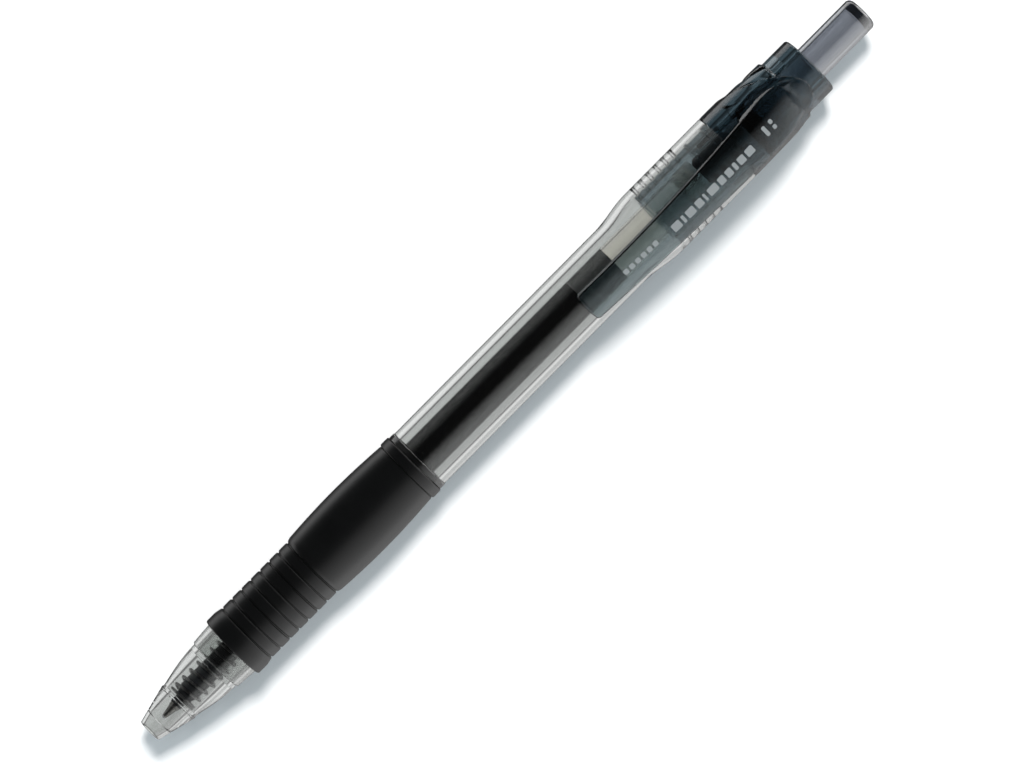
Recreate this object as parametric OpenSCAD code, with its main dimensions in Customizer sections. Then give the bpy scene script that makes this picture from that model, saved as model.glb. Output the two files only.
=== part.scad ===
// Retractable gel pen, lying on its side with the clip up.
// +X runs from the nose to the push button and +Z is up. The origin is on the
// surface that the pen lies on, under the middle of its length.
// Places along the pen are measured from the nose's front face.

/* [Nose] */
// Radius of the nose's flat front face
nose_tip_r = 1.8; // [1.7:0.05:1.9]
// Radius at the back of the short front ring
nose_ring_r = 2.35; // [2.25:0.05:2.45]
// Length of the short front ring
nose_ring_len = 2.1; // [1.7:0.1:2.3]
// Place of the small step where the spring's seat is
nose_step_x = 5.9; // [5.5:0.1:6.1]
// Radius just in front of that step
nose_step_r = 3.3; // [3.2:0.05:3.4]
// Length of the nose in front of the barrel
nose_len = 13.4; // [13:0.1:13.7]
// Radius of the nose where it meets the barrel
nose_end_r = 4.2; // [4.1:0.05:4.3]
// Depth that the nose's spigot goes into the barrel
nose_spigot_len = 5.7; // [4:0.1:6]

/* [Barrel] */
// Place of the barrel's back end
barrel_end = 117.5; // [117:0.1:118]
// Radius of the barrel between the grip and the flare
barrel_r = 5.05; // [5:0.01:5.1]
// Radius of the barrel behind the flare
barrel_rear_r = 5.76; // [5.7:0.01:5.8]
// Radius of the bore that the refill runs in
barrel_bore_r = 3.8; // [3.6:0.05:3.9]
// Radius of that bore just in front of the cap's spigot
rear_bore_r = 4.6; // [4.5:0.05:4.65]
// Place where the flare starts
flare_start = 95.5; // [94:0.5:96]
// Place where the flare ends and the threaded socket starts
flare_end = 102.3; // [102:0.1:102.4]

/* [Grip] */
// Place of the grip's front end
grip_start = 16.8; // [16.6:0.1:17]
// Place of the grip's back end
grip_end = 53.9; // [53.5:0.1:54.2]
// Radius of the barrel under the grip, which is also the grip's bore
grip_seat_r = 4.5; // [4.4:0.05:4.6]
// Radius of the bead at the grip's front
grip_bead_r = 5.28; // [5.2:0.01:5.35]
// Radius of the ringed part
grip_ring_r = 5.06; // [5:0.01:5.1]
// Largest radius of the smooth swelling
grip_swell_r = 5.57; // [5.45:0.01:5.65]
// Radius of the collar at the grip's back
grip_collar_r = 5.36; // [5.3:0.01:5.4]
// Number of grooves in the ringed part
groove_count = 8; // [6:1:8]
// Distance from one groove to the next
groove_pitch = 1.88; // [1.8:0.01:1.9]

/* [Cap] */
// Length of the cap that shows behind the barrel
cap_len = 16.8; // [16.5:0.1:17]
// Length of the threaded spigot that goes into the barrel
cap_spigot_len = 14.6; // [14.4:0.1:14.8]
// Radius of the neck round the push button
neck_r = 4.85; // [4.8:0.05:4.95]
// Length of the neck
neck_len = 5; // [4.8:0.1:5.2]
// Number of slots and of guide ribs for the push button
guide_count = 4; // [4:1:4]
// Number of slanted flutes behind the hood on each side
flute_count = 2; // [1:1:2]

/* [Clip] */
// Place of the clip's free end
clip_tip_x = 87.2; // [86.8:0.1:88]
// Width of the free end
clip_tip_w = 4.8; // [4.6:0.1:5]
// Width where the clip runs into the cap's hood
clip_root_w = 7.4; // [7.2:0.1:7.8]
// Height of the clip's highest line above the pen's middle
clip_height = 7.75; // [7.7:0.01:7.9]
// Thickness of the clip
clip_t = 1.3; // [1.2:0.05:1.35]
// Place of the hood's back end on top of the pen
hood_end = 131.8; // [131.5:0.1:132.2]

/* [Push button] */
// Length of the push button that shows at rest
button_out = 10.7; // [10.2:0.1:11]
// Radius of the part of the push button that shows
button_r = 2.7; // [2.68:0.01:2.72]

/* [Refill] */
// Outer radius of the refill's tube
tube_r = 2.87; // [2.86:0.01:2.9]
// Wall of the refill's tube
tube_wall = 0.4; // [0.3:0.05:0.45]
// Radius of the ball
ball_r = 0.35; // [0.25:0.05:0.35]
// Place of the ball's front at rest, inside the nose
ball_front = 3; // [2.6:0.1:3.2]
// Place of the refill's back end
refill_end = 112; // [111.9:0.05:112]
// Place where the ink ends and the follower grease starts
ink_end = 87; // [60:1:100]
// Length of the follower grease
follower_len = 6.9; // [5:0.1:8]

/* [Spring] */
// Wire diameter
wire_d = 0.4; // [0.3:0.05:0.45]
// Outer diameter of the spring
spring_d = 4.6; // [4.4:0.1:4.7]
// Turns, with the closed ones
spring_turns = 15.5; // [13.5:0.5:16.5]

/* [Hidden] */
$fn = 96;

pen_len = barrel_end + cap_len + button_out;
axis_z = barrel_rear_r;
cap_end = barrel_end + cap_len;
slack = 0.01;

// Grip: a lip at its back sits in an undercut of the barrel
groove_lead = 3.05;
lip_r = 4.8;
lip_len = 0.9;
bore_flare_start = 97;
groove_r = 0.22;
groove_lift = 0.04;

// Nose and spring seat
seat_x = nose_step_x + 0.5;
nib_bore_r = 1.75;
spring_bore_r = 2.55;
spigot_bore_r = 3.1;
nose_spigot_r = 3.7;
nose_bore_step_x = nose_len - 0.8;

// Cap
cap_spigot_r = 4.7;
cap_start = barrel_end - cap_spigot_len;
socket_r = cap_spigot_r + 0.1;
thread_count = 6;
thread_pitch = 1.5;
neck_start = cap_end - neck_len;
slot_r = 3.5;
rib_r = 2.9;
rib_front = 113.7;
rear_wall = 2.8;
rib_angle = 30;
cap_body_r = 5.4;
flute_slant = 58;
flute_pitch = 4.3;
flute_w = 0.45;
flute_floor_r = neck_r + 0.3;
flute_low = -1.5;
hood_bore_r = neck_r - 0.4;
hood_depth = 4.6;
beyond = 30;
hood_foot = hood_end - barrel_rear_r * tan(flute_slant);

// Clip: its top is an arc seen from the side and a crown seen from the end
clip_arc_r = 162;
clip_crown_r = 7.5;
clip_apex_x = 107.5;
clip_joint_x = 120.9;
clip_joint_gap = 0.15;
clip_pivot_x = clip_joint_x + 0.5;
clip_pivot_z = 6.52;
clip_pivot_r = 0.42;
clip_pivot_w = 4;
hood_straight_end = hood_end - 7;
clip_pad_r = 0.6;
clip_pad_x = clip_tip_x + 2;

// Mechanism
rotor_front = refill_end + 0.05;
rotor_back = 118.5;
rotor_r = 2.4;
rotor_shaft_r = 1.92;
button_bore_r = 2;
button_inner_r = 2.5;
button_shoulder_x = cap_end + 0.1;
fin_r = slot_r - 0.1;
fin_angle = 20;
fin_front = 114.5;
button_front = rotor_back + 0.3;
crown_depth = 0.7;
key_front = 124;
key_back = cap_end - rear_wall - 0.1;

// Refill
tube_bore_r = tube_r - tube_wall;
holder_front = 5.6;
holder_shoulder = 26;
holder_neck_r = 1.6;
holder_bore_r = 1.05;
holder_plug_len = 4;
tube_front = holder_shoulder + 1.2;
plug_head = 0.5;
plug_len = 3.5;
vent_r = 0.5;
nib_r = 0.75;

// Spring
spring_front = seat_x + 0.05;
spring_back = holder_shoulder - 0.05;
closed_turns = 1.25;
spring_steps = 16;
wire_sides = 6;

// Turns a solid made round local Z into one round the pen's own line.
module on_axis() {
    translate([-pen_len / 2, 0, axis_z]) rotate([0, 90, 0]) children();
}

// A solid of revolution from an outline of [radius, place] points.
module turned(outline) {
    on_axis() rotate_extrude() polygon(outline);
}

// A plain rod or bore from one place to another.
module rod(r, from, to) {
    on_axis() translate([0, 0, from]) cylinder(r = r, h = to - from);
}

// Sectors of a tube, spread evenly round the pen's line.
module sectors(count, angle, r_in, r_out, from, to, turn = 0) {
    on_axis()
        for (i = [0 : count - 1])
            rotate([0, 0, turn + i * 360 / count - angle / 2])
                rotate_extrude(angle = angle)
                    translate([r_in, from]) square([r_out - r_in, to - from]);
}

// Points on an arc of an outline, from angle a0 to angle a1.
function arc(center, r, a0, a1, steps = 6) =
    [for (i = [0 : steps])
        let (a = a0 + (a1 - a0) * i / steps)
            [center[0] + r * cos(a), center[1] + r * sin(a)]];

module nose_cone() {
    shoulder_r = nose_step_r - 0.13;
    belly = [for (i = [0 : 8])
        let (t = i / 8)
            [shoulder_r + (nose_end_r - shoulder_r) * sin(90 * t),
             nose_step_x + 0.25 + (nose_len - nose_step_x - 0.25) * t]];
    color("lightcyan", 0.5) turned(concat(
        [[1.15, 0], [nose_tip_r - 0.15, 0], [nose_tip_r, 0.15], [nose_ring_r - 0.05, nose_ring_len - 0.2],
         [nose_ring_r - 0.02, nose_ring_len], [nose_step_r, nose_step_x - 0.1], [nose_step_r, nose_step_x],
         [shoulder_r, nose_step_x + 0.05]],
        belly,
        [[nose_spigot_r, nose_len], [nose_spigot_r, nose_len + nose_spigot_len],
         [spigot_bore_r, nose_len + nose_spigot_len], [spigot_bore_r, nose_bore_step_x],
         [spring_bore_r, nose_bore_step_x], [spring_bore_r, seat_x], [nib_bore_r, seat_x],
         [nib_bore_r, nose_ring_len]]));
}

module barrel() {
    collar_r = grip_seat_r + 0.2;
    flange_r = barrel_r + 0.1;
    flare = [for (i = [0 : 12])
        let (t = i / 12)
            [barrel_r + (barrel_rear_r - barrel_r) * pow(sin(90 * t), 2),
             flare_start + (flare_end - flare_start) * t]];
    bore_flare = [for (i = [12 : -1 : 0])
        let (t = i / 12)
            [barrel_bore_r + (rear_bore_r - barrel_bore_r) * pow(sin(90 * t), 2),
             bore_flare_start + (flare_end - bore_flare_start) * t]];
    color("lightcyan", 0.5) turned(concat(
        [[nose_spigot_r, nose_len], [grip_seat_r - 0.1, nose_len], [grip_seat_r, nose_len + 0.15],
         [collar_r, grip_start], [grip_seat_r, grip_start], [grip_seat_r, grip_end + lip_len],
         [lip_r, grip_end + lip_len], [lip_r, grip_end],
         [flange_r, grip_end], [flange_r, grip_end + 0.9], [barrel_r, grip_end + 1]],
        flare,
        [[barrel_rear_r, barrel_end], [socket_r, barrel_end], [socket_r, flare_end]],
        bore_flare,
        [[barrel_bore_r, nose_len + nose_spigot_len + 0.2],
         [nose_spigot_r, nose_len + nose_spigot_len + 0.1]]));
}

module grip() {
    groove_first = grip_start + groove_lead;
    groove_end = groove_first + groove_pitch * (groove_count - 1);
    swell_start = groove_end + 0.3;
    collar_start = grip_end - 1.7;
    swell = [for (i = [0 : 20])
        let (t = i / 20)
            [grip_ring_r + 0.06 + (grip_swell_r - grip_ring_r - 0.06) * sin(180 * 0.95 * t),
             swell_start + (collar_start - 0.25 - swell_start) * t]];
    color("dimgray") on_axis() rotate_extrude() difference() {
        polygon(concat(
            [[grip_seat_r, grip_start]],
            arc([grip_bead_r - 0.6, grip_start + 0.6], 0.6, -90, 0),
            [[grip_bead_r, grip_start + 2], [grip_ring_r, groove_first], [grip_ring_r, groove_end]],
            swell,
            [[grip_ring_r, collar_start - 0.1], [grip_collar_r - 0.1, collar_start + 0.1],
             [grip_collar_r, collar_start + 0.3]],
            arc([grip_collar_r - 0.4, grip_end - 0.4], 0.4, 0, 90),
            [[lip_r, grip_end], [lip_r, grip_end + lip_len], [grip_seat_r, grip_end + lip_len]]));
        for (i = [0 : groove_count - 1])
            translate([grip_ring_r + groove_lift, groove_first + i * groove_pitch])
                circle(r = groove_r, $fn = 24);
    }
}

// The clip's bar: a crowned strip bent along its side arc, as wide as the hood.
module clip_strip(thickness, width) {
    sweep_angle = 20;
    translate([clip_apex_x - pen_len / 2, 0, axis_z + clip_height - clip_arc_r])
        rotate([90, 0, 0])
            rotate([0, 0, 90 - sweep_angle / 2])
                rotate_extrude(angle = sweep_angle, $fn = 720)
                    intersection() {
                        translate([clip_arc_r - clip_crown_r, 0]) circle(r = clip_crown_r, $fn = 96);
                        translate([clip_arc_r - thickness, -width / 2]) square([thickness, width]);
                    }
}

// Outline of the clip and hood seen from above, from one place to another.
module clip_outline(from, to) {
    straight = hood_straight_end - clip_tip_x;
    side = [for (i = [0 : 16])
        let (t = i / 16)
            [clip_tip_x + straight * t,
             clip_tip_w / 2 + (clip_root_w - clip_tip_w) / 2 * pow(t, 1.5)]];
    back = [for (i = [1 : 12])
        [hood_straight_end + (hood_end - hood_straight_end) * sin(i * 7.5),
         clip_root_w / 2 * cos(i * 7.5)]];
    half = concat(side, back);
    other_half = [for (i = [len(half) - 2 : -1 : 0]) [half[i][0], -half[i][1]]];
    front = [[clip_tip_x - 0.25, -clip_tip_w / 4], [clip_tip_x - 0.25, clip_tip_w / 4]];
    intersection() {
        polygon(concat(half, other_half, front));
        translate([from, -clip_root_w]) square([to - from, 2 * clip_root_w]);
    }
}

module clip_block(from, to) {
    translate([-pen_len / 2, 0, axis_z]) linear_extrude(height = 12) clip_outline(from, to);
}

// A rod across the pen.
module cross_rod(x, z, r, width) {
    translate([x - pen_len / 2, 0, axis_z + z])
        rotate([90, 0, 0]) cylinder(r = r, h = width, center = true, $fn = 48);
}

// Round tongue of the clip, or with room added, the notch for it in the hood.
module clip_tongue(room = 0) {
    web = clip_pivot_r * 1.2 + 2 * room;
    cross_rod(clip_pivot_x, clip_pivot_z, clip_pivot_r + room, clip_pivot_w + 2 * room);
    translate([clip_joint_x - clip_joint_gap - 0.3 - pen_len / 2, -clip_pivot_w / 2 - room,
               axis_z + clip_pivot_z - web / 2])
        cube([clip_pivot_x - clip_joint_x + clip_joint_gap + 0.3, clip_pivot_w + 2 * room, web]);
}

module clip() {
    color("slategray") {
        intersection() {
            union() {
                clip_strip(clip_t, clip_root_w + 1);
                cross_rod(clip_pad_x, barrel_r + 0.2 + clip_pad_r, clip_pad_r, clip_tip_w - 1);
            }
            clip_block(clip_tip_x - 1, clip_joint_x - clip_joint_gap);
        }
        clip_tongue();
    }
}

// A slab across the pen whose front face slants back from the given place on the pen's line.
module slanted_slab(place, width, low) {
    translate([place - pen_len / 2, 0, axis_z])
        rotate([0, flute_slant, 0])
            translate([0, -beyond / 2, low]) cube([width, beyond, beyond - low]);
}

// Hood over the clip's root, which belongs to the cap. Its back end slants like the flutes.
module hood() {
    difference() {
        union() {
            intersection() {
                clip_strip(hood_depth, clip_root_w + 1);
                clip_block(clip_joint_x, hood_end + 1);
            }
            turned([[hood_bore_r, barrel_end + 1], [barrel_rear_r, barrel_end + 1],
                    [barrel_rear_r - 0.05, hood_foot], [barrel_rear_r - 0.2, hood_end],
                    [hood_bore_r, hood_end]]);
        }
        slanted_slab(hood_foot, beyond, -beyond / 2);
        rod(hood_bore_r, clip_joint_x - 1, hood_end + 2);
        clip_tongue(0.08);
    }
}

// Slanted flutes, cut on both sides and only above the pen's middle.
module flutes() {
    difference() {
        for (i = [0 : flute_count - 1])
            slanted_slab(hood_foot + 0.1 + i * flute_pitch, flute_w, flute_low);
        rod(flute_floor_r, barrel_end, cap_end);
    }
}

module thread_ridges() {
    for (i = [0 : thread_count - 1])
        turned([[cap_spigot_r - 0.1, cap_start + 0.5 + i * thread_pitch],
                [cap_spigot_r + 0.08, cap_start + 0.85 + i * thread_pitch],
                [cap_spigot_r - 0.1, cap_start + 1.2 + i * thread_pitch]]);
}

module cap_shell() {
    shoulder = [for (i = [0 : 6])
        let (t = i / 6)
            [barrel_rear_r - (barrel_rear_r - cap_body_r) * pow(sin(90 * t), 2), barrel_end + 1 + 2.5 * t]];
    turned(concat(
        [[slot_r, cap_start], [cap_spigot_r - 0.3, cap_start], [cap_spigot_r, cap_start + 0.3],
         [cap_spigot_r, barrel_end], [barrel_rear_r, barrel_end]],
        shoulder,
        [[cap_body_r - 0.1, neck_start - 0.2], [neck_r, neck_start]],
        arc([neck_r - 0.7, cap_end - 0.7], 0.7, 0, 90),
        [[button_r + 0.09, cap_end], [button_r + 0.09, cap_end - rear_wall],
         [slot_r, cap_end - rear_wall]]));
}

module cap() {
    color("darkslategray") {
        difference() {
            cap_shell();
            flutes();
        }
        hood();
        thread_ridges();
        sectors(guide_count, rib_angle, rib_r, slot_r + 0.3, rib_front, cap_end - rear_wall + 0.3, 45);
    }
}

module push_button() {
    dome_r = button_bore_r;
    end_wall = 1.2;
    color("silver") {
        difference() {
            turned(concat(
                [[button_bore_r, button_front], [button_inner_r, button_front],
                 [button_inner_r, button_shoulder_x], [button_r, button_shoulder_x]],
                arc([button_r - 0.8, pen_len - 0.8], 0.8, 0, 90),
                [[0, pen_len]],
                [[0, pen_len - end_wall], [dome_r * 0.6, pen_len - end_wall - 0.25],
                 [button_bore_r, pen_len - end_wall - 1]]));
            for (i = [0 : 3])
                on_axis() translate([0, 0, button_front]) rotate([0, 0, i * 45])
                    rotate([0, 45, 0]) cube([crown_depth, 10, crown_depth], center = true);
        }
        sectors(guide_count, fin_angle - 2, button_inner_r - 0.2, fin_r, key_front, key_back);
    }
}

module rotor() {
    color("whitesmoke") {
        turned([[0, rotor_front], [rotor_r - 0.6, rotor_front], [rotor_r, rotor_front + 0.6],
                [rotor_r, rotor_back], [rotor_shaft_r, rotor_back], [rotor_shaft_r, rotor_back + 4.7],
                [rotor_shaft_r - 0.3, rotor_back + 5], [0, rotor_back + 5]]);
        difference() {
            sectors(guide_count, fin_angle, rotor_r - 0.3, fin_r, fin_front, rotor_back);
            for (i = [0 : guide_count - 1])
                on_axis() rotate([0, 0, i * 360 / guide_count])
                    translate([rotor_r + 0.05, -0.6, rotor_back])
                        rotate([40, 0, 0]) cube([3, 3, 2]);
        }
    }
}

function spring_place(turn, pitch) =
    turn < closed_turns ? turn * wire_d
    : turn < spring_turns - closed_turns ? closed_turns * wire_d + (turn - closed_turns) * pitch
    : closed_turns * wire_d + (spring_turns - 2 * closed_turns) * pitch
      + (turn - spring_turns + closed_turns) * wire_d;

module spring() {
    coil_r = (spring_d - wire_d) / 2;
    span = spring_back - spring_front - wire_d;
    pitch = (span - 2 * closed_turns * wire_d) / (spring_turns - 2 * closed_turns);
    rings = spring_turns * spring_steps;
    points = [for (i = [0 : rings], k = [0 : wire_sides - 1])
        let (turn = i / spring_steps,
             side = k * 360 / wire_sides,
             r = coil_r + wire_d / 2 * cos(side),
             z = spring_front + wire_d / 2 + spring_place(turn, pitch) + wire_d / 2 * sin(side))
            [r * cos(360 * turn), r * sin(360 * turn), z]];
    sides = [for (i = [0 : rings - 1], k = [0 : wire_sides - 1])
        let (a = i * wire_sides + k, b = i * wire_sides + (k + 1) % wire_sides)
            [a, a + wire_sides, b + wire_sides, b]];
    first = [for (k = [0 : wire_sides - 1]) k];
    last = [for (k = [wire_sides - 1 : -1 : 0]) rings * wire_sides + k];
    color("lightsteelblue") on_axis() polyhedron(points, concat(sides, [first, last]));
}

module nib_holder() {
    color("gainsboro") turned([
        [nib_r - 0.1, holder_front], [nib_r + 0.2, holder_front], [nib_r + 0.2, holder_front + 1],
        [holder_neck_r, holder_front + 2.8], [holder_neck_r, holder_shoulder - 1.5],
        [holder_neck_r + 0.3, holder_shoulder], [tube_r, holder_shoulder], [tube_r, tube_front],
        [tube_bore_r, tube_front], [tube_bore_r, tube_front + holder_plug_len],
        [holder_bore_r, tube_front + holder_plug_len], [holder_bore_r, holder_front + 2.8],
        [nib_r - 0.1, holder_front + 2]]);
}

module nib() {
    ball_x = ball_front + ball_r;
    color("gray") difference() {
        turned([[0, ball_x - 0.12], [ball_r + 0.03, ball_x - 0.12], [nib_r - 0.05, holder_front - 0.4],
                [nib_r + 0.05, holder_front - 0.2], [nib_r + 0.05, holder_front],
                [nib_r - 0.1, holder_front], [nib_r - 0.1, holder_front + 2],
                [0, holder_front + 2]]);
        on_axis() translate([0, 0, ball_x]) sphere(r = ball_r + 0.02, $fn = 48);
    }
}

module ball() {
    color("darkgray") on_axis() translate([0, 0, ball_front + ball_r]) sphere(r = ball_r, $fn = 48);
}

module refill_tube() {
    color("ivory", 0.6) turned([
        [tube_bore_r, tube_front], [tube_r, tube_front],
        [tube_r, refill_end - plug_head], [tube_bore_r, refill_end - plug_head]]);
}

module ink() {
    color("black") {
        rod(holder_bore_r - slack, holder_front + 2.8, tube_front + holder_plug_len);
        rod(tube_bore_r - slack, tube_front + holder_plug_len, ink_end);
    }
}

module follower() {
    color("silver", 0.7) rod(tube_bore_r - slack, ink_end, ink_end + follower_len);
}

module tail_plug() {
    color("white") turned([
        [vent_r, refill_end - plug_len], [tube_bore_r - 0.2, refill_end - plug_len],
        [tube_bore_r, refill_end - plug_len + 0.4], [tube_bore_r, refill_end - plug_head],
        [tube_r, refill_end - plug_head], [tube_r, refill_end], [vent_r, refill_end]]);
}

nose_cone();
barrel();
grip();
cap();
clip();
push_button();
rotor();
spring();
nib_holder();
nib();
ball();
refill_tube();
ink();
follower();
tail_plug();
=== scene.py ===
import math

import bmesh
import bpy
from mathutils import Matrix, Vector


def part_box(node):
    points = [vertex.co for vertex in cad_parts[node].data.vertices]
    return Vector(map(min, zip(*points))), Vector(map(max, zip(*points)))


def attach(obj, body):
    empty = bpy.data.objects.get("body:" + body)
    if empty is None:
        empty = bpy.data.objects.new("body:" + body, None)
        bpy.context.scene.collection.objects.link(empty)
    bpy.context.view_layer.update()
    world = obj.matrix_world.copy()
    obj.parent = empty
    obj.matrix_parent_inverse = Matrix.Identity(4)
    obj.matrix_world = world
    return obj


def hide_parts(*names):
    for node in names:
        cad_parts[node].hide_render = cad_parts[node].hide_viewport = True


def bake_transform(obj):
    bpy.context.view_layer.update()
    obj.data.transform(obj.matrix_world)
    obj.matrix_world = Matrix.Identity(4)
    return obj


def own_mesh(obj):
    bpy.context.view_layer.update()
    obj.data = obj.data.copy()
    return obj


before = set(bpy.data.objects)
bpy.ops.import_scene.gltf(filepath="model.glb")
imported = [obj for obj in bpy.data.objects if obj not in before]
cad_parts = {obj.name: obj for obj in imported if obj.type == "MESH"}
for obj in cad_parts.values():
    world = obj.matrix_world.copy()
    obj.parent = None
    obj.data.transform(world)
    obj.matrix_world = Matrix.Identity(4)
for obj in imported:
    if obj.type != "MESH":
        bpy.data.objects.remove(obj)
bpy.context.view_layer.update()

# ---------------------------------------------------------------- measures
# Places along the pen (x) and radii (r) are in millimetres. x runs from the
# nose's front face to the push button's end. Angles round the pen are measured
# from the clip's side, +Z, towards +Y.

MM = 0.001
NOSE_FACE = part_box("nose_cone")[0].x
PEN_LOW, PEN_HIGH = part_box("barrel")
AXIS_Z = (PEN_LOW.z + PEN_HIGH.z) / 2


def place_of(world_x):
    """Millimetres from the nose's front face."""
    return (world_x - NOSE_FACE) / MM


def span(node):
    """Where a CAD node starts and ends along the pen, in millimetres."""
    low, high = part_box(node)
    return place_of(low.x), place_of(high.x)


def radius(node):
    """A round CAD node's largest radius, in millimetres."""
    low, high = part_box(node)
    return (high.y - low.y) / 2 / MM


def at(x, r, angle=0.0):
    """The point at place x, radius r and angle, in metres in the shared frame."""
    return Vector((NOSE_FACE + x * MM, r * MM * math.sin(angle), AXIS_Z + r * MM * math.cos(angle)))


def smooth(t):
    """0 to 1 with level ends."""
    t = max(0.0, min(1.0, t))
    return t * t * (3 - 2 * t)


PEN_LEN = span("push_button")[1]
NOSE_END, BARREL_END = span("barrel")
CAP_START, CAP_END = span("cap")
BARREL_REAR_R = radius("barrel")
TUBE_R = radius("refill_tube")
TUBE_BORE_R = TUBE_R - 0.4

# The nose's spigot sits in the barrel's front.
SPIGOT_R = 3.7
SPIGOT_END = 19.0

# The grip's lip runs on inside the barrel's flange.
LIP_LEN = 0.9
LIP_R = 4.8
GRIP_SEAT_R = 4.5
GRIP_START = span("grip")[0]
GRIP_END = span("grip")[1] - LIP_LEN

# The barrel's outside and bore flare out to the socket that holds the cap.
BARREL_R = 5.05
BORE_R = 3.8
REAR_BORE_R = 4.6
SOCKET_R = 4.8
SOCKET_START = 102.3
FLARE_START = 95.5
BORE_FLARE_START = 97.0

# ---------------------------------------------------------------- mesh tools

ROUND = 160


def finish_mesh(name, bm, crease=32):
    """Makes the object from a bmesh, with faces facing out and smooth shading up to the crease angle."""
    bmesh.ops.remove_doubles(bm, verts=bm.verts, dist=2e-7)
    bmesh.ops.recalc_face_normals(bm, faces=bm.faces)
    if bm.calc_volume(signed=True) < 0:
        bmesh.ops.reverse_faces(bm, faces=bm.faces)
    mesh = bpy.data.meshes.new(name)
    bm.to_mesh(mesh)
    bm.free()
    mesh.shade_smooth()
    mesh.set_sharp_from_angle(angle=math.radians(crease))
    obj = bpy.data.objects.new(name, mesh)
    bpy.context.scene.collection.objects.link(obj)
    return obj


def rounded(corners, steps=5, guard=0.05, closed=True):
    """An outline with its corners filleted. Each corner is (x, r, fillet radius).

    Long straight runs get a guard point near each end, which keeps their shading level.
    """
    count = len(corners)
    runs = []
    for i, (x, r, fillet) in enumerate(corners):
        here = Vector((x, r))
        back = Vector(corners[i - 1][:2]) - here
        on = Vector(corners[(i + 1) % count][:2]) - here
        turn = back.angle(on, math.pi)
        if fillet <= 0 or turn > math.radians(178):
            runs.append([here])
            continue
        cut = min(fillet / math.tan(turn / 2), 0.45 * back.length, 0.45 * on.length)
        reach = cut / math.cos(turn / 2)
        middle = here + (back.normalized() + on.normalized()).normalized() * reach
        first = here + back.normalized() * cut - middle
        sweep = first.angle_signed(here + on.normalized() * cut - middle)
        run = []
        for k in range(steps + 1):
            a = -sweep * k / steps
            run.append(middle + Vector((first.x * math.cos(a) - first.y * math.sin(a),
                                        first.x * math.sin(a) + first.y * math.cos(a))))
        runs.append(run)
    points = []
    for i, run in enumerate(runs):
        points += run
        gap = runs[(i + 1) % count][0] - run[-1]
        if gap.length > 6 * guard and (closed or i < count - 1):
            points += [run[-1] + gap.normalized() * guard, run[-1] + gap - gap.normalized() * guard]
    return [(p.x, max(p.y, 0.0)) for p in points]


def turned(name, outline, segments=ROUND, crease=32):
    """A solid turned round the pen's line. A ring of the outline is (x, r), or a function that
    gives (x, r) for an angle."""
    bm = bmesh.new()
    rings = []
    for place in outline:
        if not callable(place) and place[1] < 1e-6:
            rings.append([bm.verts.new(at(place[0], 0))])
            continue
        ring = []
        for k in range(segments):
            angle = 2 * math.pi * k / segments
            x, r = place(angle) if callable(place) else place
            ring.append(bm.verts.new(at(x, r, angle)))
        rings.append(ring)
    for a, b in zip(rings, rings[1:] + rings[:1]):
        if len(a) == 1 and len(b) == 1:
            continue
        for k in range(segments):
            n = (k + 1) % segments
            if len(a) == 1:
                bm.faces.new((a[0], b[k], b[n]))
            elif len(b) == 1:
                bm.faces.new((a[k], b[0], a[n]))
            else:
                bm.faces.new((a[k], b[k], b[n], a[n]))
    return finish_mesh(name, bm, crease)


def wire_along(name, points, r, sides=10):
    """A round wire of radius r, in millimetres, swept along points of the shared frame."""
    bm = bmesh.new()
    rings = []
    last = len(points) - 1
    normal = Vector((1, 0, 0))
    for i, p in enumerate(points):
        tangent = (points[min(i + 1, last)] - points[max(i - 1, 0)]).normalized()
        normal = (normal - tangent * normal.dot(tangent)).normalized()
        side = tangent.cross(normal)
        rings.append([bm.verts.new(p + (normal * math.cos(2 * math.pi * k / sides)
                                        + side * math.sin(2 * math.pi * k / sides)) * r * MM)
                      for k in range(sides)])
    for a, b in zip(rings, rings[1:]):
        for k in range(sides):
            n = (k + 1) % sides
            bm.faces.new((a[k], a[n], b[n], b[k]))
    bm.faces.new(rings[0][::-1])
    bm.faces.new(rings[-1])
    return finish_mesh(name, bm, 50)


# ---------------------------------------------------------------- materials

PLASTIC_IOR = 1.5
COAT_IOR = 2.0


def material(name):
    """A new node material: its tree, its Principled shader and its output."""
    mat = bpy.data.materials.new(name)
    mat.use_nodes = True
    tree = mat.node_tree
    shader = next(n for n in tree.nodes if n.type == "BSDF_PRINCIPLED")
    output = next(n for n in tree.nodes if n.type == "OUTPUT_MATERIAL")
    return mat, tree, shader, output


def node(tree, kind, **values):
    """Adds a node; values set its properties, or its input sockets by name with _ for spaces."""
    made = tree.nodes.new(kind)
    for key, value in values.items():
        if hasattr(made, key):
            setattr(made, key, value)
        else:
            made.inputs[key.replace("_", " ")].default_value = value
    return made


def grain(tree, scale, detail=3.0, stretch=(1, 1, 1)):
    """Noise in the object's own metres, stretched along its axes."""
    coords = node(tree, "ShaderNodeTexCoord")
    mapping = node(tree, "ShaderNodeMapping", Scale=stretch)
    texture = node(tree, "ShaderNodeTexNoise", Scale=scale, Detail=detail)
    tree.links.new(coords.outputs["Object"], mapping.inputs["Vector"])
    tree.links.new(mapping.outputs["Vector"], texture.inputs["Vector"])
    return texture


def to_range(tree, source, low, high):
    """A 0 to 1 signal moved to low to high."""
    ranged = node(tree, "ShaderNodeMapRange")
    ranged.inputs["To Min"].default_value = low
    ranged.inputs["To Max"].default_value = high
    tree.links.new(source, ranged.inputs["Value"])
    return ranged.outputs["Result"]


def bump(tree, source, shader, depth_mm, strength=1.0):
    """Fine relief on a shader, depth_mm deep."""
    relief = node(tree, "ShaderNodeBump", Strength=strength, Distance=depth_mm * MM)
    tree.links.new(source, relief.inputs["Height"])
    tree.links.new(relief.outputs["Normal"], shader.inputs["Normal"])


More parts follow.
